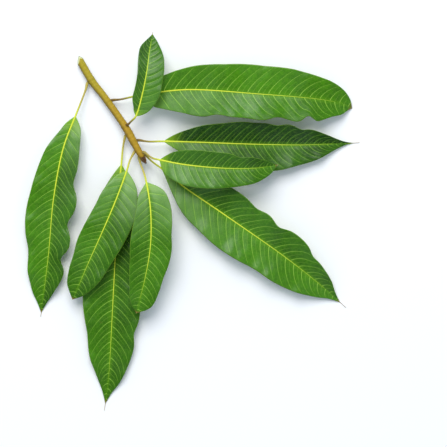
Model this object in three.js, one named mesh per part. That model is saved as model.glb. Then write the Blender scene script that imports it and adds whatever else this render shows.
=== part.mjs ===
// Mango leaf sprig: a cut shoot lying flat, with nine leaves crowded toward a resting terminal bud.
// Millimetres, +Z up. The sprig rests on z = 0; +Y runs toward the cut end, +X toward the long right leaves.
import * as THREE from 'three';

// ---------- driving dimensions ----------
const TWIG_PATH = [
  [-111, 158, 3.85], [-99.5, 138.5, 4.6], [-87, 122.5, 5.6], [-65, 91, 8.7], [-54, 71, 11], [-48, 61, 12.2],
];
const TWIG_RADIUS = [3.7, 3.8, 3.5, 3.6, 3.9, 2.9];   // at even steps from the cut end to the bud
const TWIG_SLANT = 3.4;                               // how far the slanted cut leans from square
const KNOT = 0.45;                                    // swelling of the bark where a leaf joins
const KNOT_SPREAD = 2.6;
const GAP = 0.35;                                     // clear distance kept between separate bodies

const BUD_LENGTH = 6.6;
const BUD_STEPS = 12;
const BUD_RADIUS = 2.5;
const BUD_RISE = 0.4;                                 // how far the bud turns upward

const STALK_RADIUS = 1.15;
const STALK_FLARE = 0.6;                              // extra radius of the swollen stalk base
const RIB_RADIUS = 0.95;                              // midrib where the blade begins
const RIB_TIP_RADIUS = 0.3;
const RIB_ABOVE = 0.35;                               // share of that radius standing above the blade
const RIB_BELOW = 0.9;                                // and below it
const BLADE_THICKNESS = 0.5;
const HOLLOW = 1.35;                                  // over 1, each half is hollow like a gull's wing
const OPEN_BY = 3;                                    // half-width at which the section is fully flat
const STALK_STEPS = 6;
const BLADE_STEPS = 25;
const TWIG_SIDES = 16;
const TWIG_STEPS = 44;
const END_CHAMFER = 0.86;                             // the twig draws in where the bud sits

const BARK_COLOUR = 0xa99a3c;
const BUD_COLOUR = 0x5a2a20;
const LEAF_COLOUR = 0x4f8a14;

// Stations along the blade, as shares of its length, at which half-widths are listed.
const WIDTH_AT = [0, 0.05, 0.1, 0.2, 0.3, 0.4, 0.5, 0.6, 0.7, 0.8, 0.9, 0.95, 1];

// One entry per leaf, numbered from the cut end of the twig toward the bud.
//   at      share of the twig length where the stalk joins; tilt: how high round the bark it joins
//   stalk   bare points of the path before the blade starts; path: centreline of stalk and midrib
//   left / right  half-widths seen from above, looking from base to tip
//   lift    rise of each half per mm of width [left, right]
//   dips    notches of the wavy margin: [share of length, depth, spread]
//   wave    height of the ruffle at the margin, and how many ripples run along the blade
const LEAVES = {
  leaf_1: {
    at: 0.19, tilt: -0.1, stalk: 3,
    path: [
      [-105, 130, 6.5], [-108.5, 120, 8], [-115, 103, 10.5], [-127, 71, 12],
      [-137, 20, 11], [-142.5, -36, 7], [-150.5, -95, 0.32],
    ],
    left: [9.5, 13.5, 18, 20.5, 24, 23.5, 22, 20, 17.5, 9, 4],
    right: [6, 9.2, 16.8, 21, 23.5, 26, 24.8, 20.5, 18.5, 11.5, 5.3],
    lift: [0.28, 0.08], dipsLeft: [[0.34, 4.2, 0.05], [0.545, 6, 0.05], [0.72, 6.5, 0.04]],
    dipsRight: [], wave: [1.4, 5],
  },
  leaf_2: {
    at: 0.435, tilt: 0, stalk: 2,
    path: [
      [-70, 119.3, 9.5], [-52, 123, 12], [-5.5, 128.5, 15], [64.5, 124.5, 16],
      [134.5, 118.5, 11], [156, 114, 4], [162.5, 111, 0.32],
    ],
    left: [8, 14, 20.5, 25, 27, 28.5, 28, 27, 23, 17, 11],
    right: [12, 17, 23.5, 27.5, 26.5, 25.5, 27.5, 25.5, 25.5, 15.5, 10.5],
    lift: [0.14, 0.3], dipsLeft: [],
    dipsRight: [[0.37, 2.5, 0.05], [0.643, 4.5, 0.05], [0.785, 7.5, 0.03]], wave: [1.6, 5],
  },
  leaf_3: {
    at: 0.69, tilt: 0.9, stalk: 2,
    path: [
      [-59, 97, 16.5], [-54.5, 101.5, 19.5], [-48, 122, 24],
      [-43, 147, 24], [-40.8, 166.5, 18], [-38, 185, 9],
    ],
    left: [3.8, 5.3, 8.6, 8.6, 8.5, 9, 10, 10.2, 9.3, 5, 2.5],
    right: [6, 10.5, 15, 17.5, 17.5, 17.3, 16.6, 15, 11.5, 6.3, 3.2],
    lift: [0.28, 0.16], dipsLeft: [],
    dipsRight: [], wave: [0.5, 3],
  },
  leaf_4: {
    at: 0.755, tilt: -0.5, stalk: 2,
    path: [
      [-67.8, 72, 5], [-69.5, 55, 4.4], [-73, 20, 5], [-75.5, -35, 6.5],
      [-78.5, -96, 7.5], [-82.5, -160, 3.2], [-86, -186.5, 0.32],
    ],
    left: [8, 13.5, 20.5, 25, 27.5, 28.5, 28, 26, 21.2, 12.3, 5],
    right: [7.5, 13.5, 24, 28, 30, 31, 29.5, 24.5, 20.7, 10.5, 4.5],
    lift: [0.1, 0.09], dipsLeft: [[0.7, 3, 0.035]],
    dipsRight: [], wave: [1.2, 6],
  },
  leaf_5: {
    at: 0.845, tilt: 0.05, stalk: 2,
    path: [
      [-42, 77, 11], [-27.5, 77.2, 11.5], [10, 76.2, 10.5], [60, 74.5, 9],
      [110, 73.8, 7.5], [145, 75, 3.5], [164, 76, 0.32],
    ],
    left: [6, 10.4, 16.6, 19.5, 21.8, 21, 21.5, 18.5, 13.6, 5.6, 2],
    right: [6, 11, 18, 23, 26, 26.5, 26, 21, 15.3, 6, 2],
    lift: [0.34, 0.16], dipsLeft: [[0.59, 2.5, 0.04], [0.72, 2.5, 0.035]],
    dipsRight: [], wave: [1, 6],
  },
  leaf_6: {
    at: 0.92, tilt: -0.25, stalk: 2,
    path: [
      [-60.5, 58.5, 11.5], [-63.5, 48, 14], [-75.5, 15.5, 16.5], [-89, -16, 17.5],
      [-102.5, -46, 16.5], [-114.5, -74, 15], [-118, -81, 14],
    ],
    left: [9, 15.5, 22, 25.5, 25.5, 24.5, 22.5, 20.5, 18, 12, 7],
    right: [7.5, 11.3, 15.8, 17, 18.3, 19.4, 19.5, 17, 15.5, 12, 7],
    lift: [0.2, 0.1], dipsLeft: [],
    dipsRight: [], wave: [0.6, 4],
  },
  leaf_7: {
    at: 0.965, tilt: 0.45, stalk: 2,
    path: [
      [-38, 60.3, 16], [-31, 58.5, 19], [-5.5, 53.5, 24], [34.5, 49.8, 26.5],
      [64.5, 50, 25], [86.5, 53.2, 20],
    ],
    left: [5.5, 9.7, 14, 15.5, 15.8, 15.5, 14.5, 12.5, 10.3, 6.5, 3.4],
    right: [10, 14.5, 19.2, 21.3, 21.5, 20.8, 19.2, 17.4, 15, 9.8, 6],
    lift: [0.3, 0.14], dipsLeft: [[0.68, 1.8, 0.05]],
    dipsRight: [], wave: [0.7, 4],
  },
  leaf_8: {
    at: 0.975, tilt: -0.75, stalk: 2,
    path: [
      [-38.5, 57, 8.6], [-29.5, 50.5, 8.5], [-7.5, 32.5, 9], [34.5, 3.5, 11],
      [94.5, -38.5, 11], [132, -68, 5.5], [150.5, -84.5, 0.32],
    ],
    left: [7, 13, 21, 26, 26.3, 25.6, 25.2, 24, 17.5, 10.2, 4.2],
    right: [5.5, 11.5, 23, 27.8, 31, 30.5, 28, 27.2, 22.2, 12.2, 5],
    lift: [0.28, 0.14], dipsLeft: [[0.45, 2.5, 0.04], [0.575, 4.5, 0.04], [0.77, 2, 0.03]],
    dipsRight: [], wave: [1.4, 6],
  },
  leaf_9: {
    at: 0.97, tilt: -0.9, stalk: 3,
    path: [
      [-50, 54.5, 9], [-47, 47, 12.5], [-44, 36.5, 17.5], [-39.5, 8.5, 23],
      [-39.5, -26.5, 24.5], [-44.5, -57, 22], [-54, -94.5, 18],
    ],
    left: [10, 16.3, 20.3, 21, 20.5, 21.6, 20.5, 18, 16.8, 14.5, 10],
    right: [5.7, 10.5, 13.8, 17, 19.5, 20, 18.5, 16.5, 13.5, 10, 6],
    lift: [0.18, 0.2], dipsLeft: [],
    dipsRight: [], wave: [0.6, 4],
  },
};

// ---------- helpers ----------
const clamp = (x, a, b) => Math.min(b, Math.max(a, x));
const smooth = (x) => { const c = clamp(x, 0, 1); return c * c * (3 - 2 * c); };
const vec = (p) => new THREE.Vector3(...p);
const UP = new THREE.Vector3(0, 0, 1);

// Straight-line lookup of y over rising stations x.
function lookup(xs, ys, x) {
  let i = 0;
  while (i < xs.length - 2 && x > xs[i + 1]) i += 1;
  return ys[i] + (ys[i + 1] - ys[i]) * clamp((x - xs[i]) / (xs[i + 1] - xs[i]), 0, 1);
}

// Smooth lookup: the same table read through a cubic curve that keeps to the listed values.
function smoothLookup(xs, ys, x) {
  let i = 0;
  while (i < xs.length - 2 && x > xs[i + 1]) i += 1;
  const slope = (k) => {
    const before = Math.max(k - 1, 0);
    const after = Math.min(k + 1, xs.length - 1);
    return (ys[after] - ys[before]) / (xs[after] - xs[before]);
  };
  const h = xs[i + 1] - xs[i];
  const f = clamp((x - xs[i]) / h, 0, 1);
  return ys[i] * (1 + 2 * f) * (1 - f) ** 2 + slope(i) * h * f * (1 - f) ** 2
    + ys[i + 1] * f * f * (3 - 2 * f) - slope(i + 1) * h * f * f * (1 - f);
}

// Closed body through rings of equal point count, each ring listed anticlockwise seen from the far end.
function loft(rings) {
  const n = rings[0].length;
  const position = [];
  const index = [];
  rings.forEach((ring) => ring.forEach((p) => position.push(p.x, p.y, p.z)));
  for (let i = 0; i + 1 < rings.length; i += 1) {
    for (let j = 0; j < n; j += 1) {
      const a = i * n + j; const b = i * n + ((j + 1) % n);
      index.push(a, b, b + n, a, b + n, a + n);
    }
  }
  [0, rings.length - 1].forEach((i) => {
    const c = rings[i].reduce((s, p) => s.add(p), new THREE.Vector3()).divideScalar(n);
    const k = position.length / 3;
    position.push(c.x, c.y, c.z);
    for (let j = 0; j < n; j += 1) {
      const a = i * n + j; const b = i * n + ((j + 1) % n);
      if (i === 0) index.push(b, a, k); else index.push(a, b, k);
    }
  });
  const g = new THREE.BufferGeometry();
  g.setAttribute('position', new THREE.Float32BufferAttribute(position, 3));
  g.setIndex(index);
  g.computeVertexNormals();
  return g;
}

function named(name, geometry, colour, roughness) {
  const material = new THREE.MeshStandardMaterial({ color: colour, roughness, metalness: 0 });
  const mesh = new THREE.Mesh(geometry, material);
  mesh.name = name;
  return mesh;
}

// ---------- twig ----------
const twigCurve = new THREE.CatmullRomCurve3(TWIG_PATH.map(vec), false, 'centripetal');
const twigLength = twigCurve.getLength();
const joints = Object.values(LEAVES).map((leaf) => leaf.at);

function twigRadius(s) {
  const plain = lookup([0, 0.2, 0.4, 0.6, 0.8, 1], TWIG_RADIUS, s);
  const knot = (at) => Math.exp(-(((s - at) * twigLength / KNOT_SPREAD) ** 2));
  const knots = joints.reduce((sum, at) => sum + knot(at), 0);
  return plain + KNOT * Math.min(1, knots);
}

function sideOf(tangent) {
  return new THREE.Vector3().crossVectors(UP, tangent).normalize();
}

// A ring of points round a centre, anticlockwise looking back along the axis.
function roundRing(centre, axis, count, radiusAt, shiftAt) {
  const side = sideOf(axis);
  const up = new THREE.Vector3().crossVectors(axis, side);
  return [...Array(count).keys()].map((j) => {
    const a = (j / count) * 2 * Math.PI;
    return centre.clone().addScaledVector(side, radiusAt(a) * Math.cos(a))
      .addScaledVector(up, radiusAt(a) * Math.sin(a)).addScaledVector(axis, shiftAt(a));
  });
}

function twig() {
  const rings = [];
  for (let i = 0; i <= TWIG_STEPS; i += 1) {
    const s = i / TWIG_STEPS;
    const radius = twigRadius(s) * (i === TWIG_STEPS ? END_CHAMFER : 1);
    const lean = TWIG_SLANT * Math.max(0, 1 - s / 0.09);   // the upper edge of the cut stands back
    const ring = roundRing(twigCurve.getPointAt(s), twigCurve.getTangentAt(s), TWIG_SIDES,
      () => radius, (a) => lean * Math.sin(a));
    rings.push(ring);
  }
  return named('twig', loft(rings), BARK_COLOUR, 0.6);
}

// ---------- bud ----------
function terminalBud() {
  const end = twigCurve.getPointAt(1);
  const axis = twigCurve.getTangentAt(1);
  const rings = [];
  for (let i = 0; i <= BUD_STEPS; i += 1) {
    const f = i / BUD_STEPS;
    const radius = BUD_RADIUS * (0.62 + 0.55 * f) * Math.sqrt(1 - (f * 0.997) ** 2.4);
    const centre = end.clone().addScaledVector(axis, GAP + f * BUD_LENGTH)
      .addScaledVector(UP, BUD_RISE * f * f * BUD_LENGTH);
    // three overlapping scales make the section slightly three-sided
    const scales = (a) => 1 + 0.07 * Math.cos(3 * a + 4 * f);
    rings.push(roundRing(centre, axis, TWIG_SIDES, (a) => radius * scales(a), () => 0));
  }
  return named('terminal_bud', loft(rings), BUD_COLOUR, 0.75);
}

// ---------- leaves ----------
function halfWidth(widths, dips, t) {
  const notchAt = ([at, depth, spread]) => depth * Math.exp(-(((t - at) / spread) ** 2));
  const notch = dips.reduce((sum, dip) => sum + notchAt(dip), 0);
  return Math.max(0, smoothLookup(WIDTH_AT, [0, ...widths, 0], t) - notch);
}

// Path from just outside the bark, square to it, then along the listed points.
function leafPath(leaf) {
  const root = twigCurve.getPointAt(leaf.at); const axis = twigCurve.getTangentAt(leaf.at);
  const side = sideOf(axis); const up = new THREE.Vector3().crossVectors(axis, side);
  const sign = Math.sign(vec(leaf.path[0]).sub(root).dot(side));
  const out = side.multiplyScalar(sign * Math.cos(leaf.tilt)).addScaledVector(up, Math.sin(leaf.tilt));
  const r = twigRadius(leaf.at);
  const start = root.clone().addScaledVector(out, r + GAP);
  const next = root.clone().addScaledVector(out, r + GAP + 2).addScaledVector(axis, 0.2);
  return [start, next, ...leaf.path.map(vec)];
}

// Eighteen points round a leaf, anticlockwise from its left margin. On the rib they are shares of
// the rib's radius, elsewhere shares of the half-width. face: 1 upper side, -1 underside. The
// margins are blunt, as thick as the rest of the blade.
const RING = [
  { across: 1, face: 1 }, { across: 0.62, face: 1 }, { across: 0.25, face: 1 },
  { rib: 0.85, face: 1 }, { rib: 0, face: 1 }, { rib: -0.85, face: 1 },
  { across: -0.25, face: 1 }, { across: -0.62, face: 1 }, { across: -1, face: 1 },
  { across: -1, face: -1 }, { across: -0.62, face: -1 }, { across: -0.25, face: -1 },
  { rib: -0.85, face: -1 }, { rib: 0, face: -1 }, { rib: 0.85, face: -1 },
  { across: 0.25, face: -1 }, { across: 0.62, face: -1 }, { across: 1, face: -1 },
];

// Where one point of the ring lies on the open blade, across (x) and above (z) the midrib.
function sectionPoint(spot, leaf, t, radius, w) {
  if (spot.rib !== undefined) {
    const crown = 1 + 0.25 * (1 - Math.abs(spot.rib));
    const height = radius * crown * (spot.face > 0 ? RIB_ABOVE : RIB_BELOW);
    return { x: radius * spot.rib, z: spot.face * (BLADE_THICKNESS / 2 + height) };
  }
  const onLeft = spot.across > 0;
  const share = Math.abs(spot.across);
  const width = onLeft ? w.left : w.right;
  const rise = leaf.lift[onLeft ? 0 : 1] * width * share ** HOLLOW * smooth(t * 6);
  const ripple = Math.sin(2 * Math.PI * leaf.wave[1] * t + (onLeft ? 0 : 2));
  const ruffle = leaf.wave[0] * share * share * ripple * smooth(t * 5) * smooth((1 - t) * 6);
  const x = Math.sign(spot.across) * (radius + share * width);
  return { x, z: rise + ruffle + spot.face * BLADE_THICKNESS / 2 };
}

// The round stalk opens into the thin blade as the half-widths grow.
function leafRing(centre, side, up, radius, leaf, t, w) {
  const open = smooth(Math.min(w.left, w.right) / OPEN_BY);
  return RING.map((spot, k) => {
    const angle = ((k + 0.5) / RING.length) * 2 * Math.PI;
    const round = { x: radius * Math.cos(angle), z: radius * Math.sin(angle) };
    const flat = sectionPoint(spot, leaf, t, radius, w);
    return centre.clone()
      .addScaledVector(side, round.x + (flat.x - round.x) * open)
      .addScaledVector(up, round.z + (flat.z - round.z) * open);
  });
}

// Radius of the stalk while t is under 0, and of the midrib from there to the tip.
function ribRadius(t) {
  if (t < 0) return STALK_RADIUS + STALK_FLARE * (1 - smooth((1 + t) * 2.5));
  return lookup([0, 0.12, 1], [STALK_RADIUS, RIB_RADIUS, RIB_TIP_RADIUS], t);
}

function leafBody(name, leaf) {
  const points = leafPath(leaf);
  const curve = new THREE.CatmullRomCurve3(points, false, 'centripetal');
  const lengths = curve.getLengths(400);
  const bareShare = lengths[Math.round(400 * (leaf.stalk + 1) / (points.length - 1))] / lengths[400];
  const stations = [];
  for (let i = 0; i < STALK_STEPS; i += 1) stations.push(-1 + i / STALK_STEPS);
  for (let i = 0; i <= BLADE_STEPS; i += 1) stations.push(i / BLADE_STEPS);
  const rings = stations.map((t) => {
    const s = t < 0 ? bareShare * (1 + t) : bareShare + (1 - bareShare) * t;
    const tangent = curve.getTangentAt(s);
    const side = sideOf(tangent);
    const up = new THREE.Vector3().crossVectors(tangent, side);
    const w = {
      left: t <= 0 ? 0 : halfWidth(leaf.left, leaf.dipsLeft, t),
      right: t <= 0 ? 0 : halfWidth(leaf.right, leaf.dipsRight, t),
    };
    return leafRing(curve.getPointAt(s), side, up, ribRadius(t), leaf, Math.max(0, t), w);
  });
  return named(name, loft(rings), LEAF_COLOUR, 0.45);
}

const sprig = new THREE.Group();
sprig.name = 'mango_leaf_sprig';
sprig.add(twig(), terminalBud());
Object.entries(LEAVES).forEach(([name, leaf]) => sprig.add(leafBody(name, leaf)));

export default sprig;
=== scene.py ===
import math

import bpy
import numpy as np
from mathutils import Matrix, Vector


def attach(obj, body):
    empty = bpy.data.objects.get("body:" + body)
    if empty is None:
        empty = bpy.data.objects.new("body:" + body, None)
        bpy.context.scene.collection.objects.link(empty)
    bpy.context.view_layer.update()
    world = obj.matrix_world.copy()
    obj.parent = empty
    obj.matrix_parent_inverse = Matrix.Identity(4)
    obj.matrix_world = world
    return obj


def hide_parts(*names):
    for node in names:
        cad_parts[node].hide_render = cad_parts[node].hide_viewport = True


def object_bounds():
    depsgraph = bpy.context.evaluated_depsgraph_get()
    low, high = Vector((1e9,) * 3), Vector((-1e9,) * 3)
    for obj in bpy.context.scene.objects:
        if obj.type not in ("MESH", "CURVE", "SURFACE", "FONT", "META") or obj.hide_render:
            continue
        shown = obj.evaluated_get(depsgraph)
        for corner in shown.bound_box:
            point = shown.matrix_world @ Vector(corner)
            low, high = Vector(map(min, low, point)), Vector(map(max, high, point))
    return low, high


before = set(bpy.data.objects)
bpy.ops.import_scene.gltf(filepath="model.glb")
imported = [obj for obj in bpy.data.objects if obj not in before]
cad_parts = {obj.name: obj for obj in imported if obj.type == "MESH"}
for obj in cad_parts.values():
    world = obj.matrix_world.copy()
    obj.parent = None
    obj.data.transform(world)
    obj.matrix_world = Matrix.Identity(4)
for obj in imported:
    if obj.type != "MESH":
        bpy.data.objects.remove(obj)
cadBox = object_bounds()
mm = 0.001


class Wire:
    # one value in a node tree; the usual operators add the Math nodes
    def __init__(self, graph, socket):
        self.graph, self.socket = graph, socket

    def maths(self, operation, *others, clamp=False):
        settings = {"operation": operation, "use_clamp": clamp}
        values = dict(enumerate((self,) + others))
        return self.graph.add("ShaderNodeMath", settings, values)

    def __add__(self, other): return self.maths("ADD", other)
    def __radd__(self, other): return self.maths("ADD", other)
    def __sub__(self, other): return self.maths("SUBTRACT", other)
    def __rsub__(self, other): return self.graph.add("ShaderNodeMath", {"operation": "SUBTRACT"},
            {0: other, 1: self})
    def __mul__(self, other): return self.maths("MULTIPLY", other)
    def __rmul__(self, other): return self.maths("MULTIPLY", other)
    def __truediv__(self, other): return self.maths("DIVIDE", other)
    def __pow__(self, other): return self.maths("POWER", other)
    def __neg__(self): return self.maths("MULTIPLY", -1.0)
    def __abs__(self): return self.maths("ABSOLUTE")

    def sine(self): return self.maths("SINE")
    def fraction(self): return self.maths("FRACT")
    def least(self, other): return self.maths("MINIMUM", other)
    def most(self, other): return self.maths("MAXIMUM", other)
    def over(self, limit): return self.maths("GREATER_THAN", limit)

    def ramp(self, start, end, low=0.0, high=1.0):
        # smooth step from low to high as the value runs from start to end
        return self.graph.add("ShaderNodeMapRange", {"interpolation_type": "SMOOTHSTEP"},
                              {0: self, 1: start, 2: end, 3: low, 4: high})

    def part(self, index):
        return self.graph.add("ShaderNodeSeparateXYZ", {}, {0: self}, index)


class Graph:
    def __init__(self, tree):
        self.tree = tree

    def add(self, kind, settings=None, inputs=None, out=0):
        node = self.tree.nodes.new(kind)
        for key, value in (settings or {}).items():
            setattr(node, key, value)
        for key, value in (inputs or {}).items():
            if isinstance(value, Wire):
                self.tree.links.new(value.socket, node.inputs[key])
            else:
                node.inputs[key].default_value = value
        return Wire(self, node.outputs[out])

    def blend(self, amount, first, second, way="MIX"):
        settings = {"data_type": "RGBA", "blend_type": way, "clamp_factor": True}
        return self.add("ShaderNodeMix", settings, {0: amount, 6: first, 7: second}, 2)

    def vector(self, operation, *values, out=0):
        return self.add("ShaderNodeVectorMath", {"operation": operation}, dict(enumerate(values)), out)

    def combine(self, x, y, z):
        return self.add("ShaderNodeCombineXYZ", {}, {0: x, 1: y, 2: z})

    def noise(self, place, scale, detail=3.0, rough=0.55, stretch=0.0):
        values = {"Vector": place, "Scale": scale, "Detail": detail, "Roughness": rough,
                "Distortion": stretch}
        return self.add("ShaderNodeTexNoise", {}, values)

    def cells(self, place, scale, feature="DISTANCE_TO_EDGE", randomness=1.0):
        return self.add("ShaderNodeTexVoronoi", {"feature": feature},
                        {"Vector": place, "Scale": scale, "Randomness": randomness})

    def attribute(self, name, out=1):
        return self.add("ShaderNodeAttribute", {"attribute_name": name}, {}, out)

    def objectPlace(self):
        return self.add("ShaderNodeTexCoord", {}, {}, 3)


def tint(red, green, blue):
    # screen colour from 0 to 255 turned into linear light
    parts = [c / 255 for c in (red, green, blue)]
    return tuple(c / 12.92 if c <= 0.04045 else ((c + 0.055) / 1.055) ** 2.4 for c in parts) + (1.0,)


def newMaterial(name, constants):
    material = bpy.data.materials.new(name)
    material.use_nodes = True
    graph = Graph(material.node_tree)
    shader = material.node_tree.nodes["Principled BSDF"]
    for key, value in constants.items():
        shader.inputs[key].default_value = value
    return material, graph, shader


def feed(graph, shader, **wires):
    for key, wire in wires.items():
        graph.tree.links.new(wire.socket, shader.inputs[key.replace("_", " ")])


def bump(graph, height, distance, strength=1.0):
    return graph.add("ShaderNodeBump", {}, {"Height": height, "Distance": distance, "Strength": strength})


bladeLook = {
    "deep": tint(10, 54, 0), "fresh": tint(72, 138, 0), "shade": tint(16, 60, 0),
    "nearRib": tint(92, 148, 0), "base": tint(136, 180, 4), "vein": tint(170, 214, 84),
    # the pale colour used toward the leaf's base is a painted sheen standing in for gloss
    "paintedSheen": tint(140, 180, 108), "margin": tint(128, 172, 50), "dry": tint(128, 96, 48), "spot": tint(84,
            84, 20),
    "roughness": 0.52, "veinWidth": 0.044, "meshScale": 560.0,
}


def leafCoordinates(graph):
    # leafPlace: vein count along the blade, share of the half-width, share of the length
    place = graph.attribute("leafPlace")
    phase, side, along = place.part(0), place.part(1), place.part(2)
    return phase, abs(side), along


def veinLines(graph, phase, across, width):
    gap = abs((phase + 0.5).fraction() - 0.5)           # 0 on a lateral vein, 0.5 halfway between two
    wide = width * (1.15 - 0.75 * across)
    main = 1.0 - gap.ramp(wide * 0.25, wide)
    halo = 1.0 - gap.ramp(0.0, 0.26)
    middle = abs(phase.fraction() - 0.5)
    minor = (1.0 - middle.ramp(0.004, 0.03)) * (1.0 - across.ramp(0.3, 0.7))
    fade = 1.0 - across.ramp(0.86, 0.98)
    return main * fade, halo * fade, minor


def bladeMaterial():
    look = bladeLook
    material, graph, shader = newMaterial("leafUpperFace", {
        "Coat Roughness": 0.27, "Specular IOR Level": 0.1, "IOR": 1.46})
    phase, across, along = leafCoordinates(graph)
    place = graph.objectPlace()
    toneAndShade, sheenAmount = graph.attribute("leafTone", 2), graph.attribute("leafBloom", 2)
    main, halo, minor = veinLines(graph, phase, across, look["veinWidth"])
    span = graph.attribute("leafSpan")
    network = graph.cells(span, look["meshScale"])
    netLine = 1.0 - network.ramp(0.02, 0.14)
    broad = graph.noise(place, 22.0, 4.0).ramp(0.32, 0.7)
    fine = graph.noise(place, 260.0, 4.0).ramp(0.3, 0.72)
    # painted shade: each half's tone is partly the leaf's own colour and partly shade from the way that half faces the
    # light
    colour = graph.blend(broad * 0.35 + toneAndShade, look["deep"], look["fresh"])
    colour = graph.blend(fine * 0.3, colour, look["shade"])
    colour = graph.blend((1.0 - across.ramp(0.0, 0.22)) * 0.4, colour, look["nearRib"])
    colour = graph.blend((1.0 - along.ramp(0.0, 0.12)) * 0.75, colour, look["base"])
    paintedSheenMask = sheenAmount * (1.0 - along.ramp(0.1, 0.5)) * across.ramp(0.0, 0.3)   # painted sheen: a pale colour toward the leaf's base stands in for gloss
    colour = graph.blend(paintedSheenMask * (0.6 + broad * 0.4), colour, look["paintedSheen"])
    colour = graph.blend(halo * 0.2, colour, look["fresh"])
    colour = graph.blend(netLine * 0.07, colour, look["vein"])
    colour = graph.blend(minor * 0.3, colour, look["vein"])
    colour = graph.blend(main * (0.48 + toneAndShade * 0.5), colour, look["vein"])
    colour = graph.blend(across.ramp(0.965, 0.99) * 0.75, colour, look["margin"])
    specks = graph.noise(place, 150.0, 2.0).ramp(0.74, 0.8)
    colour = graph.blend(specks * 0.35, colour, look["spot"])
    colour = graph.blend((along + across * 0.01).ramp(0.978, 1.0) * 0.8, colour, look["dry"])
    rough = look["roughness"] + fine * 0.08 + main * 0.1 - broad * 0.05
    gloss = 0.14 + graph.noise(place, 20.0, 2.0).ramp(0.4, 0.62) * 0.34
    height = main * 0.8 + minor * 0.3 + netLine * 0.22 + fine * 0.1
    feed(graph, shader, Base_Color=colour, Roughness=rough, Coat_Weight=gloss,
         Normal=bump(graph, height, 0.25 * mm, 0.7))
    return material


undersideLook = {
    "pale": tint(116, 146, 62), "fresh": tint(134, 164, 72), "vein": tint(176, 190, 104),
    "dry": tint(128, 96, 48), "veinWidth": 0.075,
}


def undersideMaterial():
    look = undersideLook
    material, graph, shader = newMaterial("leafUnderside", {"Specular IOR Level": 0.35})
    phase, across, along = leafCoordinates(graph)
    place = graph.objectPlace()
    main, halo, minor = veinLines(graph, phase, across, look["veinWidth"])
    netLine = 1.0 - graph.cells(graph.attribute("leafSpan"), bladeLook["meshScale"]).ramp(0.02, 0.16)
    broad = graph.noise(place, 30.0, 4.0).ramp(0.3, 0.7)
    colour = graph.blend(broad, look["pale"], look["fresh"])
    colour = graph.blend(main * 0.8 + minor * 0.3 + netLine * 0.25, colour, look["vein"])
    colour = graph.blend(along.ramp(0.972, 0.995), colour, look["dry"])
    rough = 0.62 + broad * 0.08
    height = main + minor * 0.4 + netLine * 0.35
    feed(graph, shader, Base_Color=colour, Roughness=rough, Normal=bump(graph, height, 0.4 * mm, 0.8))
    return material


ribLook = {
    "ribPale": tint(220, 230, 62), "ribGreen": tint(176, 206, 56), "stalkCream": tint(206, 192, 92),
    "stalkBrown": tint(112, 84, 36), "stalkBase": tint(78, 52, 24), "dry": tint(172, 150, 108),
}


def ribMaterial():
    look = ribLook
    material, graph, shader = newMaterial("midribAndStalk", {"Specular IOR Level": 0.25})
    run = graph.attribute("ribPlace")
    share, fromTwig, brown = run.part(0), run.part(1), run.part(2)
    place = graph.objectPlace()
    grain = graph.noise(place, 420.0, 5.0).ramp(0.3, 0.7)
    streak = graph.noise(place, 90.0, 3.0).ramp(0.35, 0.7)
    rib = graph.blend(share.ramp(0.25, 1.0) + streak * 0.15, look["ribPale"], look["ribGreen"])
    stalk = graph.blend(brown * (0.75 + streak * 0.4), look["stalkCream"], look["stalkBrown"])
    stalk = graph.blend((1.0 - fromTwig.ramp(0.4, 3.0)) * (0.25 + brown * 0.35), stalk, look["stalkBase"])
    colour = graph.blend(share.ramp(-0.1, 0.03), stalk, rib)
    colour = graph.blend(grain * 0.06, colour, look["stalkBrown"])
    colour = graph.blend(share.ramp(0.985, 1.0), colour, look["dry"])
    rough = 0.46 + grain * 0.14
    feed(graph, shader, Base_Color=colour, Roughness=rough, Normal=bump(graph, grain, 0.1 * mm, 0.5))
    return material


barkLook = {
    "green": tint(160, 154, 28), "ochre": tint(172, 134, 22), "gold": tint(204, 172, 62),
    "brown": tint(92, 66, 14), "wood": tint(216, 220, 168), "pith": tint(232, 226, 190), "rim": tint(120,
            130, 58),
}


def barkMaterial():
    look = barkLook
    material, graph, shader = newMaterial("youngBark", {"Specular IOR Level": 0.22})
    run = graph.attribute("barkPlace")                  # share along, turn round, nearness to a leaf joint
    share, turn, joint = run.part(0), run.part(1), run.part(2)
    place = graph.objectPlace()
    lengthways = graph.combine(share * 5.0, turn * 6.0, joint * 0.0)
    streak = graph.noise(lengthways, 6.0, 5.0).ramp(0.32, 0.68)
    patch = graph.noise(place, 70.0, 3.0).ramp(0.35, 0.68)
    grain = graph.noise(place, 900.0, 4.0).ramp(0.3, 0.7)
    colour = graph.blend(share.ramp(0.1, 0.75) * 0.85 + patch * 0.2, look["green"], look["ochre"])
    colour = graph.blend(streak * 0.45, colour, look["gold"])
    colour = graph.blend(graph.noise(lengthways, 13.0, 4.0).ramp(0.55, 0.75) * 0.4, colour, look["brown"])
    shadedFlank = abs(turn - 0.2).ramp(0.06, 0.25)            # painted shade: the flanks are darker than the lit top, standing in for light from above
    colour = graph.blend(shadedFlank * (0.55 + streak * 0.25), colour, look["brown"])
    colour = graph.blend(joint * streak * 0.3, colour, look["brown"])
    colour = graph.blend(grain * 0.14, colour, look["brown"])
    feed(graph, shader, Base_Color=colour, Roughness=0.5 + grain * 0.15,
         Normal=bump(graph, streak * 0.7 + grain * 0.3, 0.25 * mm, 0.6))
    return material


def cutMaterial():
    look = barkLook
    material, graph, shader = newMaterial("cutWood", {"Specular IOR Level": 0.3})
    radial = graph.attribute("cutPlace", 2)             # 0 at the pith, 1 at the bark
    place = graph.objectPlace()
    fibre = graph.noise(place, 1400.0, 4.0).ramp(0.3, 0.7)
    colour = graph.blend(radial.ramp(0.18, 0.32), look["pith"], look["wood"])
    colour = graph.blend(radial.ramp(0.84, 0.97), colour, look["rim"])
    colour = graph.blend(fibre * 0.25, colour, look["rim"])
    feed(graph, shader, Base_Color=colour, Roughness=0.7 + fibre * 0.1, Normal=bump(graph, fibre,
            0.15 * mm, 0.6))
    return material


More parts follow.
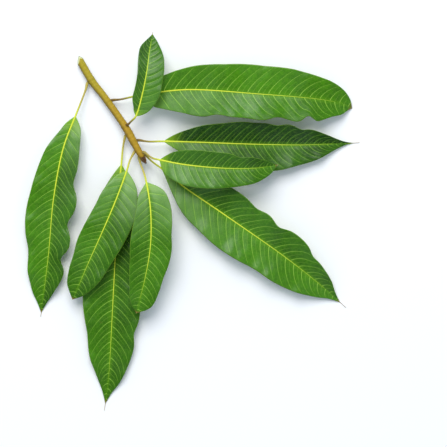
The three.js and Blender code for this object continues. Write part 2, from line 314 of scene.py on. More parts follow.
def budMaterial():
    material, graph, shader = newMaterial("budScales", {"Specular IOR Level": 0.3})
    place = graph.objectPlace()
    grain = graph.noise(place, 1100.0, 4.0).ramp(0.3, 0.7)
    edge = graph.attribute("scaleEdge", 2)
    colour = graph.blend(grain, tint(42, 28, 10), tint(82, 54, 24))
    colour = graph.blend(edge * 0.6, colour, tint(132, 98, 62))
    feed(graph, shader, Base_Color=colour, Roughness=0.66 + grain * 0.14, Normal=bump(graph, grain,
            0.2 * mm, 0.7))
    return material


def smooth(x):
    c = np.clip(x, 0.0, 1.0)
    return c * c * (3 - 2 * c)


def throughPoints(points, steps):
    # centripetal spline through the points, then even steps along its length
    p = np.array(points, float)
    p = np.vstack([2 * p[0] - p[1], p, 2 * p[-1] - p[-2]])
    dense, knots = [], [0]
    for i in range(1, len(p) - 2):
        a, b, c, d = p[i - 1:i + 3]
        ab, bc, cd = (np.linalg.norm(q) ** 0.5 for q in (b - a, c - b, d - c))
        m1 = ((b - a) / ab - (c - a) / (ab + bc) + (c - b) / bc) * bc
        m2 = ((c - b) / bc - (d - b) / (bc + cd) + (d - c) / cd) * bc
        f = np.linspace(0, 1, 60, endpoint=False)[:, None]
        dense.append(b + m1 * f + (3 * (c - b) - 2 * m1 - m2) * f ** 2 + (2 * (b - c) + m1 + m2) * f ** 3)
        knots.append(knots[-1] + 60)
    dense = np.vstack(dense + [p[-2][None]])
    run = np.r_[0, np.cumsum(np.linalg.norm(np.diff(dense, axis=0), axis=1))]
    even = np.linspace(0, run[-1], steps)
    line = np.stack([np.interp(even, run, dense[:, k]) for k in range(3)], axis=1)
    return line, run[-1], run[knots]


def framesAlong(line):
    along = np.gradient(line, axis=0)
    along /= np.linalg.norm(along, axis=1)[:, None]
    side = np.cross([0, 0, 1], along)
    side /= np.linalg.norm(side, axis=1)[:, None]
    return along, side, np.cross(along, side)


def smoothTable(xs, ys, x):
    xs, ys = np.array(xs, float), np.array(ys, float)
    before, after = np.maximum(np.arange(len(xs)) - 1, 0), np.minimum(np.arange(len(xs)) + 1, len(xs) - 1)
    slope = (ys[after] - ys[before]) / (xs[after] - xs[before])
    i = np.clip(np.searchsorted(xs, x, side="right") - 1, 0, len(xs) - 2)
    h = xs[i + 1] - xs[i]
    f = np.clip((x - xs[i]) / h, 0, 1)
    return (ys[i] * (1 + 2 * f) * (1 - f) ** 2 + slope[i] * h * f * (1 - f) ** 2
            + ys[i + 1] * f * f * (3 - 2 * f) - slope[i + 1] * h * f * f * (1 - f))


twigShape = {
    "path": [(-111, 158, 3.85), (-99.5, 138.5, 4.6), (-87, 122.5, 5.6), (-65, 91, 8.7), (-54, 71, 11),
            (-48, 61, 12.2)],
    "radius": [3.7, 3.8, 3.5, 3.6, 3.9, 2.9],
    "slant": 3.4, "knot": 0.22, "knotSpread": 2.6, "wrinkle": 0.1, "steps": 260, "sides": 56,
}

widthAt = [0, 0.05, 0.1, 0.2, 0.3, 0.4, 0.5, 0.6, 0.7, 0.8, 0.9, 0.95, 1]

# one entry for each leaf, in millimetres: where the stalk joins the twig, the line of stalk and midrib,
# half-widths seen from above, rise of each half, notches of the margin, ruffle, and the finish; each half's tone is
# partly painted shade and the pale base is a painted sheen
leafShapes = {
    "leaf_1": {
        "at": 0.19, "tilt": -0.1, "stalk": 3,
        "path": [(-105, 130, 6.5), (-108.5, 120, 8), (-115, 103, 10.5), (-127, 71, 12),
                 (-137, 20, 11), (-142.5, -36, 7), (-150.5, -95, 0.32)],
        "left": [9.5, 13.5, 18, 20.5, 24, 23.5, 22, 20, 17.5, 9, 4],
        "right": [6, 9.2, 16.8, 21, 23.5, 26, 24.8, 20.5, 18.5, 11.5, 5.3],
        "lift": (0.28, 0.08), "dipsLeft": [(0.34, 4.2, 0.05), (0.545, 6, 0.05), (0.72, 6.5, 0.04)],
        "dipsRight": [], "wave": (1.4, 5), "veins": 21, "toneAndShade": (0.22, 0.6), "paintedSheen": (0.25,
                0.05), "brown": 0.35, "dryTip": 4,
    },
    "leaf_2": {
        "at": 0.435, "tilt": 0, "stalk": 2,
        "path": [(-70, 119.3, 9.5), (-52, 123, 12), (-5.5, 128.5, 15), (64.5, 124.5, 16),
                 (134.5, 118.5, 11), (156, 114, 4), (162.5, 111, 0.32)],
        "left": [8, 14, 20.5, 25, 27, 28.5, 28, 27, 23, 17, 11],
        "right": [12, 17, 23.5, 27.5, 26.5, 25.5, 27.5, 25.5, 25.5, 15.5, 10.5],
        "lift": (0.14, 0.3), "dipsLeft": [],
        "dipsRight": [(0.37, 2.5, 0.05), (0.643, 4.5, 0.05), (0.785, 7.5, 0.03)],
        "wave": (1.6, 5), "veins": 21, "toneAndShade": (0.62, 0.5), "paintedSheen": (0.05, 0.3), "brown": 1.0, "dryTip": 0,
    },
    "leaf_3": {
        "at": 0.69, "tilt": 0.9, "stalk": 2,
        "path": [(-59, 97, 16.5), (-54.5, 101.5, 19.5), (-48, 122, 24),
                 (-43, 147, 24), (-40.8, 166.5, 18), (-38, 185, 9)],
        "left": [3.8, 5.3, 8.6, 8.6, 8.5, 9, 10, 10.2, 9.3, 5, 2.5],
        "right": [6, 10.5, 15, 17.5, 17.5, 17.3, 16.6, 15, 11.5, 6.3, 3.2],
        "lift": (0.28, 0.16), "dipsLeft": [], "dipsRight": [],
        "wave": (0.5, 3), "veins": 13, "toneAndShade": (0.12, 0.3), "paintedSheen": (0.05, 0.15), "brown": 0.95, "dryTip": 2,
    },
    "leaf_4": {
        "at": 0.755, "tilt": -0.5, "stalk": 2,
        "path": [(-67.8, 72, 5), (-69.5, 55, 4.4), (-73, 20, 5), (-75.5, -35, 6.5),
                 (-78.5, -96, 7.5), (-82.5, -160, 3.2), (-86, -186.5, 0.32)],
        "left": [8, 13.5, 20.5, 25, 27.5, 28.5, 28, 26, 21.2, 12.3, 5],
        "right": [7.5, 13.5, 24, 28, 30, 31, 29.5, 24.5, 20.7, 10.5, 4.5],
        "lift": (0.1, 0.09), "dipsLeft": [(0.7, 3, 0.035)], "dipsRight": [],
        "wave": (1.2, 6), "veins": 23, "toneAndShade": (0.3, 0.42), "paintedSheen": (0.1, 0.3), "brown": 0.3, "dryTip": 7,
    },
    "leaf_5": {
        "at": 0.845, "tilt": 0.05, "stalk": 2,
        "path": [(-42, 77, 11), (-27.5, 77.2, 11.5), (10, 76.2, 10.5), (60, 74.5, 9),
                 (110, 73.8, 7.5), (145, 75, 3.5), (164, 76, 0.32)],
        "left": [6, 10.4, 16.6, 19.5, 21.8, 21, 21.5, 18.5, 13.6, 5.6, 2],
        "right": [6, 11, 18, 23, 26, 26.5, 26, 21, 15.3, 6, 2],
        "lift": (0.34, 0.16), "dipsLeft": [(0.59, 2.5, 0.04), (0.72, 2.5, 0.035)],
        "dipsRight": [], "wave": (1, 6), "veins": 21, "toneAndShade": (-0.25, 0.12), "paintedSheen": (0.0,
                0.25), "brown": 0.85, "dryTip": 6,
    },
    "leaf_6": {
        "at": 0.92, "tilt": -0.25, "stalk": 2,
        "path": [(-60.5, 58.5, 11.5), (-63.5, 48, 14), (-75.5, 15.5, 16.5), (-89, -16, 17.5),
                 (-102.5, -46, 16.5), (-114.5, -74, 15), (-118, -81, 14)],
        "left": [9, 15.5, 22, 25.5, 25.5, 24.5, 22.5, 20.5, 18, 12, 7],
        "right": [7.5, 11.3, 15.8, 17, 18.3, 19.4, 19.5, 17, 15.5, 12, 7],
        "lift": (0.2, 0.1), "dipsLeft": [], "dipsRight": [],
        "wave": (0.6, 4), "veins": 17, "toneAndShade": (0.25, 0.45), "paintedSheen": (0.6, 0.35), "brown": 0.25, "dryTip": 0,
    },
    "leaf_7": {
        "at": 0.965, "tilt": 0.45, "stalk": 2,
        "path": [(-38, 60.3, 16), (-31, 58.5, 19), (-5.5, 53.5, 24),
                 (34.5, 49.8, 26.5), (64.5, 50, 25), (86.5, 53.2, 20)],
        "left": [5.5, 9.7, 14, 15.5, 15.8, 15.5, 14.5, 12.5, 10.3, 6.5, 3.4],
        "right": [10, 14.5, 19.2, 21.3, 21.5, 20.8, 19.2, 17.4, 15, 9.8, 6],
        "lift": (0.3, 0.14), "dipsLeft": [(0.68, 1.8, 0.05)], "dipsRight": [],
        "wave": (0.7, 4), "veins": 16, "toneAndShade": (0.12, 0.38), "paintedSheen": (0.0, 0.2), "brown": 0.6, "dryTip": 1,
    },
    "leaf_8": {
        "at": 0.975, "tilt": -0.75, "stalk": 2,
        "path": [(-38.5, 57, 8.6), (-29.5, 50.5, 8.5), (-7.5, 32.5, 9), (34.5, 3.5, 11),
                 (94.5, -38.5, 11), (132, -68, 5.5), (150.5, -84.5, 0.32)],
        "left": [7, 13, 21, 26, 26.3, 25.6, 25.2, 24, 17.5, 10.2, 4.2],
        "right": [5.5, 11.5, 23, 27.8, 31, 30.5, 28, 27.2, 22.2, 12.2, 5],
        "lift": (0.28, 0.14), "dipsLeft": [(0.45, 2.5, 0.04), (0.575, 4.5, 0.04), (0.77, 2, 0.03)],
        "dipsRight": [], "wave": (1.4, 6), "veins": 22, "toneAndShade": (0.25, 0.5), "paintedSheen": (0.05,
                0.5), "brown": 0.6, "dryTip": 8,
    },
    "leaf_9": {
        "at": 0.97, "tilt": -0.9, "stalk": 3,
        "path": [(-50, 54.5, 9), (-47, 47, 12.5), (-44, 36.5, 17.5), (-39.5, 8.5, 23),
                 (-39.5, -26.5, 24.5), (-44.5, -57, 22), (-54, -94.5, 18)],
        "left": [10, 16.3, 20.3, 21, 20.5, 21.6, 20.5, 18, 16.8, 14.5, 10],
        "right": [5.7, 10.5, 13.8, 17, 19.5, 20, 18.5, 16.5, 13.5, 10, 6],
        "lift": (0.18, 0.2), "dipsLeft": [], "dipsRight": [],
        "wave": (0.6, 4), "veins": 16, "toneAndShade": (0.5, 0.4), "paintedSheen": (0.6, 0.65), "brown": 0.2, "dryTip": 0,
    },
}

twigLine, twigLength, twigKnots = throughPoints(twigShape["path"], twigShape["steps"])
twigAlong, twigSide, twigUp = framesAlong(twigLine)


def twigAt(share):
    i = int(round(share * (len(twigLine) - 1)))
    return twigLine[i], twigAlong[i], twigSide[i], twigUp[i]


def twigRadiusAt(share):
    plain = np.interp(share, [0, 0.2, 0.4, 0.6, 0.8, 1], twigShape["radius"])
    knots = sum(np.exp(-((share - leaf["at"]) * twigLength / twigShape["knotSpread"]) ** 2)
                for leaf in leafShapes.values())
    return plain + twigShape["knot"] * np.minimum(1, knots)


stalkShape = {"radius": 0.95, "flare": 0.55, "rib": 0.9, "tip": 0.3, "bury": 0.5, "steps": 220}
bladeShape = {"thickness": 0.5, "hollow": 1.35, "quilt": 0.32, "reach": 0.115, "bend": 1.4, "rows": 200,
        "columns": 47}


def leafLine(leaf):
    # the stalk leaves the bark square on, then follows the listed points
    root, along, side, up = twigAt(leaf["at"])
    sign = np.sign(np.dot(np.array(leaf["path"][0]) - root, side))
    out = sign * math.cos(leaf["tilt"]) * side + math.sin(leaf["tilt"]) * up
    bark = float(twigRadiusAt(leaf["at"]))
    points = [root + out * (bark - stalkShape["bury"]), root + out * (bark + 1.1) + along * 0.5]
    points += [np.array(p, float) for p in leaf["path"]]
    last = points[-1] - points[-2]
    if leaf["dryTip"]:
        tip = points[-1] + last / np.linalg.norm(last) * leaf["dryTip"] * np.array([1, 1, 0])
        points.append(tip)
    line, length, knots = throughPoints(points, stalkShape["steps"])
    bare = knots[leaf["stalk"] + 1] / length
    end = (knots[-2] if leaf["dryTip"] else knots[-1]) / length
    return line, length, bare, end


def halfWidths(leaf, hand, t):
    notch = sum(depth * np.exp(-((t - at) / spread) ** 2) for at, depth, spread in leaf["dips" + hand])
    width = smoothTable(widthAt, [0] + leaf[hand.lower()] + [0], t) - notch
    return np.maximum(0, width) * (t > 0) * (t < 1)


def skeleton(name, leaf):
    # the leaf's centreline as a bare polyline that carries every measure along it
    line, length, bare, end = leafLine(leaf)
    along, side, up = framesAlong(line)
    share = np.linspace(0, 1, len(line))
    t = (share - bare) / (end - bare)
    flare = stalkShape["flare"] * (1 - smooth(share / bare * 2.5))
    radius = np.where(t < 0, stalkShape["radius"] + flare,
                      np.interp(t, [0, 0.12, 1, 1.05], [stalkShape["radius"], stalkShape["rib"],
                              stalkShape["tip"], 0.18]))
    mesh = bpy.data.meshes.new(name)
    mesh.from_pydata((line * mm).tolist(), [(i, i + 1) for i in range(len(line) - 1)], [])
    fields = {
        "leftWidth": halfWidths(leaf, "Left", t) * mm, "rightWidth": halfWidths(leaf, "Right", t) * mm,
        "ribRadius": radius * mm, "bladeShare": t, "fromTwig": share * length,
    }
    for key, values in fields.items():
        mesh.attributes.new(key, "FLOAT", "POINT").data.foreach_set("value", values.astype(np.float32))
    for key, values in (("side", side), ("up", up)):
        mesh.attributes.new(key, "FLOAT_VECTOR", "POINT").data.foreach_set("vector",
                values.astype(np.float32).ravel())
    thing = bpy.data.objects.new(name, mesh)
    bpy.context.scene.collection.objects.link(thing)
    return thing, bare, end


leafInputs = {
    "Bare share": 0.15, "Blade end": 1.0, "Lift left": 0.2, "Lift right": 0.2, "Ruffle": 0.001, "Ripples": 5.0,
    "Veins": 20.0, "Vein reach": 0.1, "Vein bend": 1.25, "Hollow": 1.35, "Quilt": 0.0003, "Thickness": 0.0005,
    "Tone and shade left": 0.5, "Tone and shade right": 0.5, "Painted sheen left": 0.0, "Painted sheen right": 0.0, "Stalk brown": 0.5,
}


def leafTree(upper, under, rib):
    tree = bpy.data.node_groups.new("leafFromMidrib", "GeometryNodeTree")
    tree.interface.new_socket("Geometry", in_out="INPUT", socket_type="NodeSocketGeometry")
    for name, value in leafInputs.items():
        tree.interface.new_socket(name, in_out="INPUT", socket_type="NodeSocketFloat").default_value = value
    tree.interface.new_socket("Geometry", in_out="OUTPUT", socket_type="NodeSocketGeometry")
    g = Graph(tree)
    group = tree.nodes.new("NodeGroupInput")
    given = {s.name: Wire(g, s) for s in group.outputs if s.name}
    curve = g.add("GeometryNodeMeshToCurve", {}, {0: given["Geometry"]})

    def stored(name, kind="FLOAT"):
        return g.add("GeometryNodeInputNamedAttribute", {"data_type": kind}, {0: name})

    def keep(geometry, name, value, kind="FLOAT_VECTOR"):
        return g.add("GeometryNodeStoreNamedAttribute", {"data_type": kind, "domain": "POINT"},
                     {0: geometry, "Name": name, "Value": value})

    def bladeSheet(level):
        # level 1 is the upper face, -1 the underside; both share the margin
        grid = g.add("GeometryNodeMeshGrid", {}, {0: 1.0, 1: 2.0, 2: bladeShape["rows"],
                3: bladeShape["columns"]})
        place = g.add("GeometryNodeInputPosition")
        u, v = place.part(0) + 0.5, place.part(1)
        across = abs(v)
        ramp = u.ramp(0.0, 0.22) * (1.0 - u.ramp(0.74, 1.0))
        t = u + given["Vein reach"] * (across ** given["Vein bend"]) * ramp
        factor = given["Bare share"] + (given["Blade end"] - given["Bare share"]) * t.least(0.9999)

        def sample(value, kind="FLOAT", out=0):
            return g.add("GeometryNodeSampleCurve", {"data_type": kind, "mode": "FACTOR"},
                         {"Curves": curve, "Value": value, "Factor": factor}, out)
        onLeft = v.over(0.0)
        leftWidth, rightWidth = sample(stored("leftWidth")), sample(stored("rightWidth"))
        side, up = (sample(stored(n, "FLOAT_VECTOR"), "FLOAT_VECTOR") for n in ("side", "up"))
        centre = sample(stored("side", "FLOAT_VECTOR"), "FLOAT_VECTOR", 1)
        width = leftWidth * onLeft + rightWidth * (1.0 - onLeft)
        lift = given["Lift left"] * onLeft + given["Lift right"] * (1.0 - onLeft)
        ends = t.ramp(0.0, 0.2) * (1.0 - t.ramp(0.82, 1.0))
        phase = u * given["Veins"] + onLeft * 0.5
        gap = phase.fraction()
        swell = (gap * math.pi).sine() * across.ramp(0.02, 0.25) * (1.0 - across.ramp(0.75,
                1.0)) * u.ramp(0.0, 0.1)
        rise = lift * width * (across ** given["Hollow"]) * t.ramp(0.0, 0.16)
        ripple = (t * given["Ripples"] * (2 * math.pi) + (1.0 - onLeft) * 2.0).sine()
        ripple = ripple + (t * given["Ripples"] * (4.6 * math.pi) + onLeft * 1.3).sine() * 0.35
        ruffle = given["Ruffle"] * across * across * ripple * ends
        body = (1.0 - across.ramp(0.9, 1.0)) * width.ramp(0.0, 2 * mm)
        body = body * u.ramp(0.0, 0.01) * (1.0 - u.ramp(0.99, 1.0))      # 0 all round the edge
        skin = given["Thickness"] * 0.5 * level * body
        height = rise + ruffle + given["Quilt"] * swell + skin
        spot = g.vector("ADD", centre, g.add("ShaderNodeVectorMath", {"operation": "SCALE"}, {0: side,
                3: v * width}))
        spot = g.vector("ADD", spot, g.add("ShaderNodeVectorMath", {"operation": "SCALE"}, {0: up,
                3: height}))
        lowest = spot.part(2).most(0.1 * mm + body * (0.1 * mm * level))
        spot = g.combine(spot.part(0), spot.part(1), lowest)
        sheet = keep(grid, "leafPlace", g.combine(phase, v, t))
        sheet = keep(sheet, "leafSpan", g.combine(phase * 9.0 * mm, v * width, 0.0))
        # painted shade: the tone stored for each half is partly own colour and partly shade from the way that half
        # faces the light
        toneAndShade = given["Tone and shade left"] * onLeft + given["Tone and shade right"] * (1.0 - onLeft)
        sheet = keep(sheet, "leafTone", toneAndShade, "FLOAT")
        # painted sheen: amount of pale colour standing in for gloss near the base of each half
        paintedSheen = given["Painted sheen left"] * onLeft + given["Painted sheen right"] * (1.0 - onLeft)
        sheet = keep(sheet, "leafBloom", paintedSheen, "FLOAT")
        sheet = keep(sheet, "leafSpot", spot)
        sheet = g.add("GeometryNodeSetPosition", {}, {0: sheet, "Position": stored("leafSpot",
                "FLOAT_VECTOR")})
        if level < 0:
            sheet = g.add("GeometryNodeFlipFaces", {}, {0: sheet})
        return g.add("GeometryNodeSetMaterial", {}, {0: sheet, "Material": upper if level > 0 else under})

    def ribTube():
        line = keep(curve, "ribPlace", g.combine(stored("bladeShare"), stored("fromTwig"),
                given["Stalk brown"]))
        ring = g.add("GeometryNodeCurvePrimitiveCircle", {}, {"Resolution": 14, "Radius": 1.0})
        tube = g.add("GeometryNodeCurveToMesh", {}, {
            0: line, "Profile Curve": ring, "Scale": stored("ribRadius"), "Fill Caps": True})
        drop = g.combine(0.0, 0.0, stored("ribRadius") * -0.3 * stored("bladeShare").ramp(0.0, 0.1))
        tube = g.add("GeometryNodeSetPosition", {}, {0: tube, "Offset": drop})
        spot = g.add("GeometryNodeInputPosition")
        resting = g.combine(spot.part(0), spot.part(1), spot.part(2).most(0.04 * mm))
        tube = g.add("GeometryNodeSetPosition", {}, {0: tube, "Position": resting})
        return g.add("GeometryNodeSetMaterial", {}, {0: tube, "Material": rib})

    blade = g.add("GeometryNodeJoinGeometry")
    join = blade.socket.node.inputs[0]
    for sheet in (bladeSheet(1), bladeSheet(-1)):
        tree.links.new(sheet.socket, join)
    blade = g.add("GeometryNodeMergeByDistance", {}, {0: blade, "Distance": 0.002 * mm})
    whole = g.add("GeometryNodeJoinGeometry")
    for piece in (blade, ribTube()):
        tree.links.new(piece.socket, whole.socket.node.inputs[0])
    whole = g.add("GeometryNodeRealizeInstances", {}, {0: whole})
    whole = g.add("GeometryNodeSetShadeSmooth", {}, {0: whole})
    final = tree.nodes.new("NodeGroupOutput")
    tree.links.new(whole.socket, final.inputs[0])
    return tree


def applyTree(thing, tree, values):
    modifier = thing.modifiers.new("shape", "NODES")
    modifier.node_group = tree
    for item in tree.interface.items_tree:
        if item.in_out == "INPUT" and item.name in values:
            modifier[item.identifier] = values[item.name]
    graph = bpy.context.evaluated_depsgraph_get()
    mesh = bpy.data.meshes.new_from_object(thing.evaluated_get(graph), preserve_all_data_layers=True,
            depsgraph=graph)
    thing.modifiers.remove(modifier)
    thing.data = mesh
    return thing


def makeLeaf(name, leaf, tree):
    thing, bare, end = skeleton("visual_" + name, leaf)
    applyTree(thing, tree, {
        "Bare share": float(bare), "Blade end": float(end), "Lift left": leaf["lift"][0], "Lift right": leaf["lift"][1],
        "Ruffle": leaf["wave"][0] * mm, "Ripples": float(leaf["wave"][1]), "Veins": float(leaf["veins"]),
        "Vein reach": bladeShape["reach"], "Vein bend": bladeShape["bend"], "Hollow": bladeShape["hollow"],
        "Quilt": bladeShape["quilt"] * mm, "Thickness": bladeShape["thickness"] * mm,
        "Tone and shade left": leaf["toneAndShade"][0], "Tone and shade right": leaf["toneAndShade"][1],
        "Painted sheen left": leaf["paintedSheen"][0], "Painted sheen right": leaf["paintedSheen"][1], "Stalk brown": leaf["brown"],
    })
    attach(thing, "root")
    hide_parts(name)
    return thing


def gridFaces(rings, around):
    faces = []
    for i in range(rings - 1):
        for j in range(around):
            a, b = i * around + j, i * around + (j + 1) % around
            faces.append((a, b, b + around, a + around))
    return faces


def makeTwig(bark, cut):
    steps, sides = twigShape["steps"], twigShape["sides"]
    rng = np.random.default_rng(7)
    share = np.linspace(0, 1, steps)
    angle = np.arange(sides) / sides * 2 * np.pi
    radius = np.repeat(twigRadiusAt(share)[:, None], sides, axis=1)
    for count in (3, 5, 8, 13):                          # shallow ridges that wander along the shoot
        drift, start = rng.uniform(-2.5, 2.5), rng.uniform(0, 6.28)
        radius += twigShape["wrinkle"] * np.cos(count * angle[None] + drift * share[:,
                None] * 3 + start) * 1.4 / count ** 0.5
    for turn in rng.uniform(0, 6.28, 5):                 # fine rings across the bark
        radius += 0.03 * np.sin(share[:, None] * twigLength * 1.6 + 2 * np.cos(angle[None] + turn))
    radius *= np.where(share > 0.985, 1 - 0.3 * (share - 0.985) / 0.015, 1)[:, None]
    # two knife strokes meet in a point
    wedge = 1.25 * (np.abs(np.cos(angle) - 0.35) + 0.45 * np.sin(angle)) - 1.2
    lean = twigShape["slant"] * np.maximum(0, 1 - share / 0.09)[:, None] * wedge[None]
    points = (twigLine[:, None] + radius[..., None] * (np.cos(angle)[None, :, None] * twigSide[:, None]
              + np.sin(angle)[None, :, None] * twigUp[:, None]) + lean[..., None] * twigAlong[:, None])
    points[..., 2] = np.maximum(points[..., 2], 0.03)
    verts = [tuple(p) for p in (points.reshape(-1, 3) * mm)]
    faces = gridFaces(steps, sides)
    joint = sum(np.exp(-((share - leaf["at"]) * twigLength / 1.5) ** 2) for leaf in leafShapes.values())
    place = np.stack(np.broadcast_arrays(share[:, None], angle[None] / 6.2832, np.minimum(1, joint)[:,
            None]), -1).reshape(-1, 3)
    radial = np.ones(len(verts))
    cutFaces = []
    rim = points[0]
    middle = rim.mean(axis=0)
    inner = list(range(sides))
    for k, shareIn in enumerate((0.93, 0.7, 0.45, 0.2)):  # the slanted cut, dished slightly round the pith
        base = len(verts)
        ring = middle + (rim - middle) * shareIn + twigAlong[0] * (0.12 + 0.1 * rng.standard_normal(sides)[:, None] * 0.6)
        verts += [tuple(p) for p in ring * mm]
        radial = np.r_[radial, np.full(sides, shareIn)]
        cutFaces += [(inner[(j + 1) % sides], inner[j], base + j,
                base + (j + 1) % sides) for j in range(sides)]
        inner = list(range(base, base + sides))
    verts.append(tuple((middle + twigAlong[0] * 0.3) * mm))
    radial = np.r_[radial, 0.0]
    cutFaces += [(inner[(j + 1) % sides], inner[j], len(verts) - 1) for j in range(sides)]
    last = (steps - 1) * sides
    verts.append(tuple((twigLine[-1] + twigAlong[-1] * 0.5) * mm))
    radial = np.r_[radial, 1.0]
    endFaces = [(last + j, last + (j + 1) % sides, len(verts) - 1) for j in range(sides)]
    place = np.vstack([place, np.zeros((len(verts) - len(place), 3))])
    mesh = bpy.data.meshes.new("twigShape")
    mesh.from_pydata(verts, [], faces + cutFaces + endFaces)
    for material in (bark, cut):
        mesh.materials.append(material)
    slots = np.zeros(len(mesh.polygons), np.int32)
    slots[len(faces):len(faces) + len(cutFaces)] = 1
    mesh.polygons.foreach_set("material_index", slots)
    mesh.polygons.foreach_set("use_smooth", slots == 0)
    mesh.attributes.new("barkPlace", "FLOAT_VECTOR", "POINT").data.foreach_set("vector",
            place.astype(np.float32).ravel())
    mesh.attributes.new("cutPlace", "FLOAT", "POINT").data.foreach_set("value", radial.astype(np.float32))
    thing = bpy.data.objects.new("visual_twig", mesh)
    bpy.context.scene.collection.objects.link(thing)
    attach(thing, "root")
    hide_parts("twig")
    return thing


budShape = {"length": 6.6, "radius": 2.5, "scales": 15, "turn": 2.4, "rise": 0.4}


def scaleMesh():
    # one bud scale: a hollow pointed shell with some thickness, root at the origin, tip along +Z
    verts, faces, edge = [], [], []
    rows, columns = 9, 7
    for level in (1, -1):
        for i in range(rows):
            f = i / (rows - 1)
            half = 0.95 * math.sin(math.pi * min(1, 0.25 + 0.75 * f)) ** 0.7 * (1 - f ** 3) + 0.02
            for j in range(columns):
                s = j / (columns - 1) * 2 - 1
                bend = 1.15 * s * half
                body = 0.10 * level * (1 - abs(s) ** 3) * (1 - f ** 4)
                verts.append(((1 + body) * math.cos(bend) - 1 - 0.75 * f ** 2,
                        (1 + body) * math.sin(bend), f * 2.2))
                edge.append(max(abs(s) ** 4, f ** 3))
    count = rows * columns
    for level in (0, 1):
        for i in range(rows - 1):
            for j in range(columns - 1):
                a = level * count + i * columns + j
                quad = (a, a + 1, a + columns + 1, a + columns)
                faces.append(quad if level == 0 else quad[::-1])
    rim = [j for j in range(columns)] + [i * columns + columns - 1 for i in range(1, rows)]
    rim += [(rows - 1) * columns + j for j in range(columns - 2, -1,
            -1)] + [i * columns for i in range(rows - 2, 0, -1)]
    for a, b in zip(rim, rim[1:] + rim[:1]):
        faces.append((b, a, a + count, b + count))
    mesh = bpy.data.meshes.new("budScale")
    mesh.from_pydata(verts, [], faces)
    mesh.attributes.new("scaleEdge", "FLOAT", "POINT").data.foreach_set("value", np.array(edge, np.float32))
    thing = bpy.data.objects.new("budScale", mesh)
    bpy.context.scene.collection.objects.link(thing)
    return thing


def budTree(scale, material):
    # scales set round a line of points, each turned by the same angle from the last
    tree = bpy.data.node_groups.new("scalesInASpiral", "GeometryNodeTree")
    tree.interface.new_socket("Geometry", in_out="INPUT", socket_type="NodeSocketGeometry")
    tree.interface.new_socket("Turn", in_out="INPUT", socket_type="NodeSocketFloat").default_value = 2.4
    tree.interface.new_socket("Widest", in_out="INPUT", socket_type="NodeSocketFloat").default_value = 0.0025
    tree.interface.new_socket("Geometry", in_out="OUTPUT", socket_type="NodeSocketGeometry")
    g = Graph(tree)
    group = tree.nodes.new("NodeGroupInput")
    given = [Wire(g, s) for s in group.outputs]
    index = g.add("GeometryNodeInputIndex")
    share = g.add("GeometryNodeInputNamedAttribute", {"data_type": "FLOAT"}, {0: "share"})
    info = g.add("GeometryNodeObjectInfo", {}, {"Object": scale}, 4)
    turn = g.combine(0.0, 0.16 - share * 0.2, index * given[1])
    shrink = given[2] * (1.05 - share * 0.62)
    size = g.combine(shrink, shrink, shrink * (1.15 + share * 0.3))
    placed = g.add("GeometryNodeInstanceOnPoints", {}, {0: given[0], "Instance": info, "Rotation": turn,
            "Scale": size})
    placed = g.add("GeometryNodeRealizeInstances", {}, {0: placed})
    placed = g.add("GeometryNodeSetMaterial", {}, {0: placed, "Material": material})
    final = tree.nodes.new("NodeGroupOutput")
    tree.links.new(placed.socket, final.inputs[0])
    return tree


def makeBud(material):
    scale = scaleMesh()
    share = np.linspace(0, 1, budShape["scales"])
    mesh = bpy.data.meshes.new("budLine")
    mesh.from_pydata([(0, 0, s * budShape["length"] * 0.45 * mm) for s in share], [], [])
    mesh.attributes.new("share", "FLOAT", "POINT").data.foreach_set("value", share.astype(np.float32))
    thing = bpy.data.objects.new("visual_terminal_bud", mesh)
    bpy.context.scene.collection.objects.link(thing)
    applyTree(thing, budTree(scale, material), {"Turn": budShape["turn"],
            "Widest": budShape["radius"] * 1.2 * mm})
    bpy.data.objects.remove(scale)
    aim = twigAlong[-1] + np.array([0, 0, budShape["rise"]])
    turn = Vector(aim).to_track_quat("Z", "Y").to_matrix().to_4x4()
    turn.translation = Vector(twigLine[-1] - twigAlong[-1] * 0.2) * mm
    thing.data.transform(turn)
    thing.data.update()
    for face in thing.data.polygons:
        face.use_smooth = True
    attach(thing, "root")
    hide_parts("terminal_bud")
    return thing


stageLook = {"floor": (0.93, 0.935, 0.95), "sky": (0.75, 0.86, 1.0), "zenith": (0.42, 0.46, 0.5),
        "skyStrength": 0.76,
             "keyPower": 110.0, "keySize": 2.4, "keyPlace": (-0.45, 2.1,
                     2.8), "cameraHeight": 1.8, "span": 0.447,
             "lookAt": (33.0, -5.0, 12.0)}


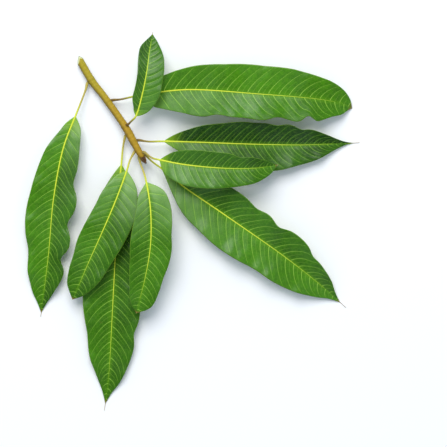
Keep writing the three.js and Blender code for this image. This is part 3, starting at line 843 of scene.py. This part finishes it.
def makeStage():
    look = stageLook
    low, high = cadBox
    centre = [(low[0] + high[0]) / 2, (low[1] + high[1]) / 2]
    half = 4.0
    mesh = bpy.data.meshes.new("floor")
    corners = [(centre[0] + x * half, centre[1] + y * half, low[2] - 0.0001) for x, y in ((-1, -1), (1,
            -1), (1, 1), (-1, 1))]
    mesh.from_pydata(corners, [], [(0, 1, 2, 3)])
    material, graph, shader = newMaterial("paleFloor", {"Roughness": 0.9, "Specular IOR Level": 0.1})
    shader.inputs["Base Color"].default_value = look["floor"] + (1.0,)
    mesh.materials.append(material)
    floor = bpy.data.objects.new("floor", mesh)
    bpy.context.scene.collection.objects.link(floor)
    world = bpy.data.worlds.new("softSky")
    bpy.context.scene.world = world
    world.use_nodes = True
    sky = Graph(world.node_tree)
    height = sky.add("ShaderNodeTexCoord").part(2)
    shade = sky.blend(height.ramp(0.7, 0.97), look["sky"] + (1.0,), look["zenith"] + (1.0,))
    sky.tree.links.new(shade.socket, world.node_tree.nodes["Background"].inputs[0])
    world.node_tree.nodes["Background"].inputs[1].default_value = look["skyStrength"]
    lamp = bpy.data.lights.new("key", "AREA")
    lamp.shape, lamp.size, lamp.energy = "SQUARE", look["keySize"], look["keyPower"]
    lamp.color = (1.0, 0.985, 0.95)
    key = bpy.data.objects.new("key", lamp)
    key.location = look["keyPlace"]
    aim = Vector((centre[0], centre[1], 0)) - key.location
    key.rotation_euler = aim.to_track_quat("-Z", "Y").to_euler()
    bpy.context.scene.collection.objects.link(key)
    camera = bpy.data.cameras.new("camera")
    camera.lens = 36 * look["cameraHeight"] / look["span"]
    camera.clip_end = 20
    view = bpy.data.objects.new("camera", camera)
    place = [c * mm for c in look["lookAt"]]
    view.location = (place[0], place[1], place[2] + look["cameraHeight"])
    bpy.context.scene.collection.objects.link(view)
    bpy.context.scene.camera = view
    bpy.context.scene.view_settings.view_transform = "Standard"


makeStage()
print("stage ready")
upper, under, rib = bladeMaterial(), undersideMaterial(), ribMaterial()
tree = leafTree(upper, under, rib)
for name, leaf in leafShapes.items():
    made = makeLeaf(name, leaf, tree)
    print(name, "made with", len(made.data.polygons), "faces")
makeTwig(barkMaterial(), cutMaterial())
makeBud(budMaterial())
print("twig and bud made")
